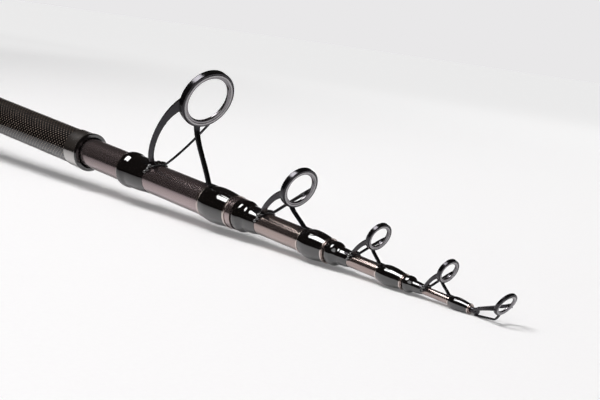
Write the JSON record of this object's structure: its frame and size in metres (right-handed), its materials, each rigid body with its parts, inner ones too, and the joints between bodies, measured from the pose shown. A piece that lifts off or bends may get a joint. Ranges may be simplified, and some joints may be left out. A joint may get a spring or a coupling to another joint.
{
  "type": "telescopic fishing rod",
  "caption": "Collapsed telescopic fishing rod: nested tapered sections that slide out and jam, legged line guides, tip top, foam grips, screw reel seat and screw butt cap.",
  "frame": {"origin": "on the rod's axis, at the flat end of the rubber button in the butt cap", "axes": "+X along the rod from butt to tip, +Z towards the line guides and the reel, +Y to the left seen from behind the butt"},
  "size_m": [0.8812, 0.0368, 0.0847],
  "materials": {
    "carbon_weave": "clear-coated woven carbon tube",
    "bronze_lacquer": "dark bronze lacquer over a wrapped carbon tube",
    "black_epoxy": "glossy black epoxy over thread",
    "bright_trim": "polished bright trim",
    "guide_frame": "dark grey coated steel sheet",
    "guide_ring": "polished grey ceramic",
    "foam_grip": "dense black foam",
    "satin_check": "satin anodised ring",
    "seat_plastic": "black moulded plastic",
    "hood_metal": "dark coated hood",
    "satin_nut": "dark anodised aluminium",
    "soft_rubber": "black rubber"
  },
  "bodies": {
    "butt": {"butt_tube": "carbon_weave", "mouth_ring": "bright_trim", "mouth_rim": "black_epoxy", "rear_grip": "foam_grip", "rear_grip_check": "satin_check", "reel_seat_body": "seat_plastic", "fixed_hood": "hood_metal", "seat_check": "satin_check", "fore_grip": "foam_grip", "fore_grip_check": "satin_check"},
    "hood": {"sliding_hood": "hood_metal"},
    "nut": {"lock_nut": "satin_nut"},
    "pad": {"bumper_pad": "soft_rubber"},
    "cap": {"butt_plug": "satin_nut", "end_button": "soft_rubber"},
    "s2": {"s2_tube": "bronze_lacquer", "s2_stop_collar": "black_epoxy", "s2_rear_whipping": "black_epoxy", "s2_front_whipping": "black_epoxy", "s2_trim_rings": "bright_trim", "s2_guide_frame": "guide_frame", "s2_guide_ring": "guide_ring"},
    "s3": {"s3_tube": "bronze_lacquer", "s3_stop_collar": "black_epoxy", "s3_rear_whipping": "black_epoxy", "s3_front_whipping": "black_epoxy", "s3_trim_rings": "bright_trim", "s3_guide_frame": "guide_frame", "s3_guide_ring": "guide_ring"},
    "s4": {"s4_tube": "bronze_lacquer", "s4_stop_collar": "black_epoxy", "s4_rear_whipping": "black_epoxy", "s4_front_whipping": "black_epoxy", "s4_trim_rings": "bright_trim", "s4_guide_frame": "guide_frame", "s4_guide_ring": "guide_ring"},
    "s5": {"s5_tube": "bronze_lacquer", "s5_stop_collar": "black_epoxy", "s5_rear_whipping": "black_epoxy", "s5_front_whipping": "black_epoxy", "s5_trim_rings": "bright_trim", "s5_guide_frame": "guide_frame", "s5_guide_ring": "guide_ring"},
    "tip": {"tip_blank": "bronze_lacquer", "tip_ferrule": "guide_frame", "tip_frame": "guide_frame", "tip_ring": "guide_ring"}
  },
  "joints": [
    {"name": "s2_slide", "type": "slide", "parent": "butt", "child": "s2", "axis": [1, 0, 0], "range_m": [0, 0.4796]},
    {"name": "s3_slide", "type": "slide", "parent": "s2", "child": "s3", "axis": [1, 0, 0], "range_m": [0, 0.6156]},
    {"name": "s4_slide", "type": "slide", "parent": "s3", "child": "s4", "axis": [1, 0, 0], "range_m": [0, 0.6781]},
    {"name": "s5_slide", "type": "slide", "parent": "s4", "child": "s5", "axis": [1, 0, 0], "range_m": [0, 0.7226]},
    {"name": "tip_slide", "type": "slide", "parent": "s5", "child": "tip", "axis": [1, 0, 0], "range_m": [0, 0.7561]},
    {"name": "hood_slide", "type": "slide", "parent": "butt", "child": "hood", "axis": [1, 0, 0], "range_m": [0, 0.018]},
    {"name": "nut_turn", "type": "hinge", "parent": "hood", "child": "nut", "pos_m": [0.2874, 0, 0], "axis": [1, 0, 0], "range_deg": [0, 3250]},
    {"name": "pad_slide", "type": "slide", "parent": "butt", "child": "pad", "axis": [-1, 0, 0], "range_m": [0, 0.013]},
    {"name": "cap_turn", "type": "hinge", "parent": "pad", "child": "cap", "pos_m": [0.006, 0, 0], "axis": [-1, 0, 0], "range_deg": [0, 3130]}
  ],
  "couplings": [
    {"joint": "nut_turn", "follows": "hood_slide", "rad_per_m": 3141.6},
    {"joint": "cap_turn", "follows": "pad_slide", "rad_per_m": 4188.8}
  ]
}
